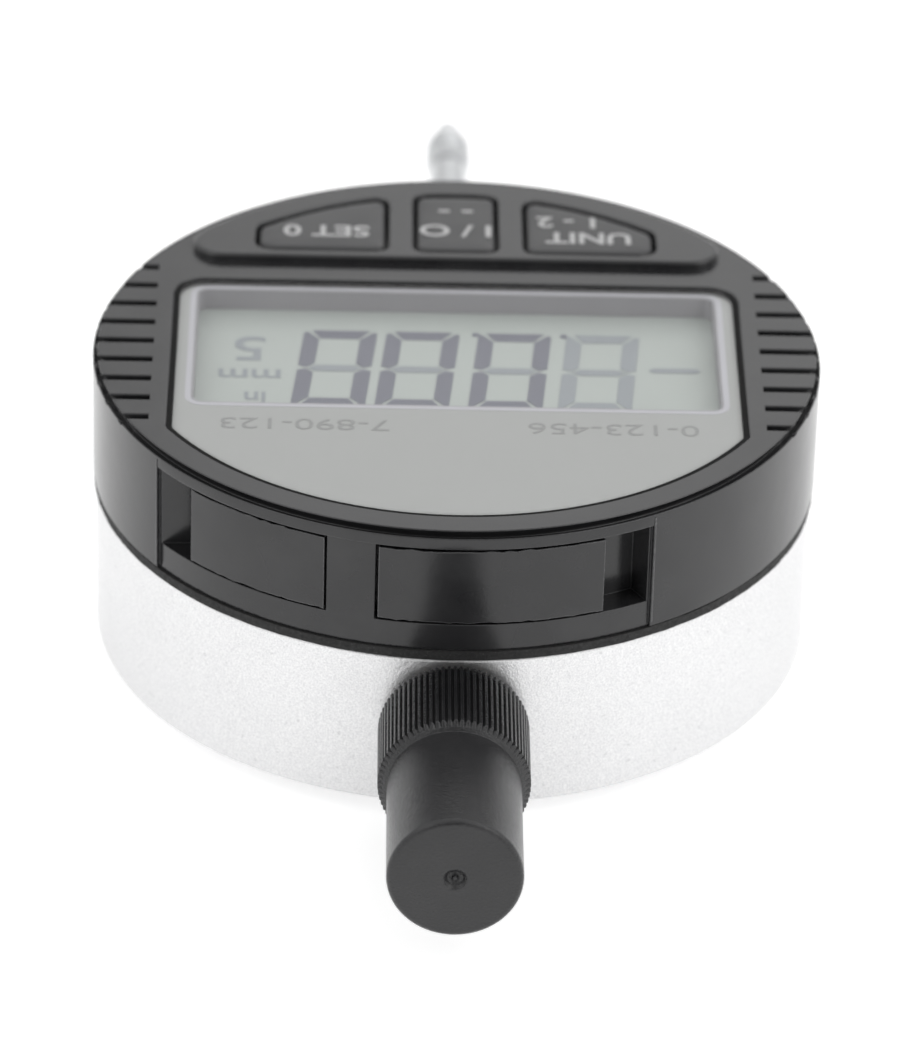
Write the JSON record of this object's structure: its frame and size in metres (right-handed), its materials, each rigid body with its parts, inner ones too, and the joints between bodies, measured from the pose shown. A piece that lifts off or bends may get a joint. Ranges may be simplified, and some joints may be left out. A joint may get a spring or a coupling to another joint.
{
  "type": "digital dial indicator",
  "caption": "Digital dial indicator with a round display that turns on a silver case, a sprung spindle with a ball contact point, a stem, display keys and a knurled dust cap.",
  "frame": {"origin": "centre of the back cover's outer flat face, under the middle of the display", "axes": "+Z out of the display, +Y along the spindle to the contact point, -Y to the dust cap"},
  "size_m": [0.058, 0.1222, 0.027],
  "materials": {
    "black_plastic": "satin moulded black plastic",
    "silver_case": "fine blasted die casting with a light silver coat",
    "steel": "ground and polished",
    "dark_steel": "blackened",
    "brass": "turned",
    "key_rubber": "matt black",
    "seal_rubber": "matt black",
    "clear_lens": "clear polished acrylic",
    "silver_mask": "silver-grey print on film",
    "lcd_glass": "grey-green reflective liquid crystal",
    "frame_plastic": "grey moulded plastic",
    "circuit_board": "green solder mask on fibre board",
    "copper_scale": "copper pattern on fibre board",
    "amber_film": "amber flexible film"
  },
  "bodies": {
    "case": {"case_shell": "silver_case", "back_cover": "silver_case", "back_cover_screw_1": "dark_steel", "back_cover_screw_2": "dark_steel", "back_cover_screw_3": "dark_steel", "back_cover_screw_4": "dark_steel", "stem": "steel", "stem_bush": "brass", "upper_bush": "brass", "seal_ring": "seal_rubber", "retaining_ring": "steel", "retaining_screw_1": "dark_steel", "retaining_screw_2": "dark_steel", "retaining_screw_3": "dark_steel", "sensor_board": "circuit_board", "sensor_board_screw_1": "dark_steel", "sensor_board_screw_2": "dark_steel", "flex_cable": "amber_film", "guide_rod": "steel", "spring_post": "steel", "return_spring": "steel"},
    "spindle": {"spindle": "steel", "contact_point": "steel", "contact_ball": "steel", "stop_collar": "dark_steel", "stop_washer": "seal_rubber", "carriage": "brass", "carriage_screw": "dark_steel", "spring_pin": "steel", "scale_strip": "copper_scale"},
    "display": {"display_ring": "black_plastic", "display_chassis": "black_plastic", "display_screw_1": "dark_steel", "display_screw_2": "dark_steel", "display_screw_3": "dark_steel", "main_board": "circuit_board", "board_screw_1": "dark_steel", "board_screw_2": "dark_steel", "board_screw_3": "dark_steel", "controller_chip": "seal_rubber", "lens": "clear_lens", "lens_mask": "silver_mask", "lcd_frame": "frame_plastic", "lcd_glass": "lcd_glass", "zebra_strip_1": "seal_rubber", "zebra_strip_2": "seal_rubber", "battery": "steel", "battery_contact_low": "brass", "battery_contact_top": "brass", "data_port": "frame_plastic", "zero_switch": "dark_steel", "power_switch": "dark_steel", "unit_switch": "dark_steel"},
    "zero_key": {"zero_key": "key_rubber"},
    "power_key": {"power_key": "key_rubber"},
    "unit_key": {"unit_key": "key_rubber"},
    "battery_cover": {"battery_cover": "black_plastic"},
    "data_port_cover": {"data_port_cover": "black_plastic"},
    "dust_cap": {"dust_cap": "black_plastic"}
  },
  "joints": [
    {"name": "spindle_travel", "type": "slide", "parent": "case", "child": "spindle", "axis": [0, -1, 0], "range_m": [0, 0.0127], "stiffness_N_per_m": 30, "springref_m": -0.02, "deforming": ["return_spring"]},
    {"name": "display_turn", "type": "hinge", "parent": "case", "child": "display", "pos_m": [0, 0, 0.016], "axis": [0, 0, 1], "range_deg": [-135, 135]},
    {"name": "zero_press", "type": "slide", "parent": "display", "child": "zero_key", "axis": [0, 0, -1], "range_m": [0, 0.0005]},
    {"name": "power_press", "type": "slide", "parent": "display", "child": "power_key", "axis": [0, 0, -1], "range_m": [0, 0.0005]},
    {"name": "unit_press", "type": "slide", "parent": "display", "child": "unit_key", "axis": [0, 0, -1], "range_m": [0, 0.0005]},
    {"name": "battery_cover_pull", "type": "slide", "parent": "display", "child": "battery_cover", "axis": [0.0924, -0.9957, 0], "range_m": [0, 0.012]},
    {"name": "data_port_cover_pull", "type": "slide", "parent": "display", "child": "data_port_cover", "axis": [-0.5468, -0.8372, 0], "range_m": [0, 0.01]},
    {"name": "dust_cap_unscrew", "type": "slide", "parent": "case", "child": "dust_cap", "axis": [0, -1, 0], "range_m": [0, 0.02]}
  ]
}
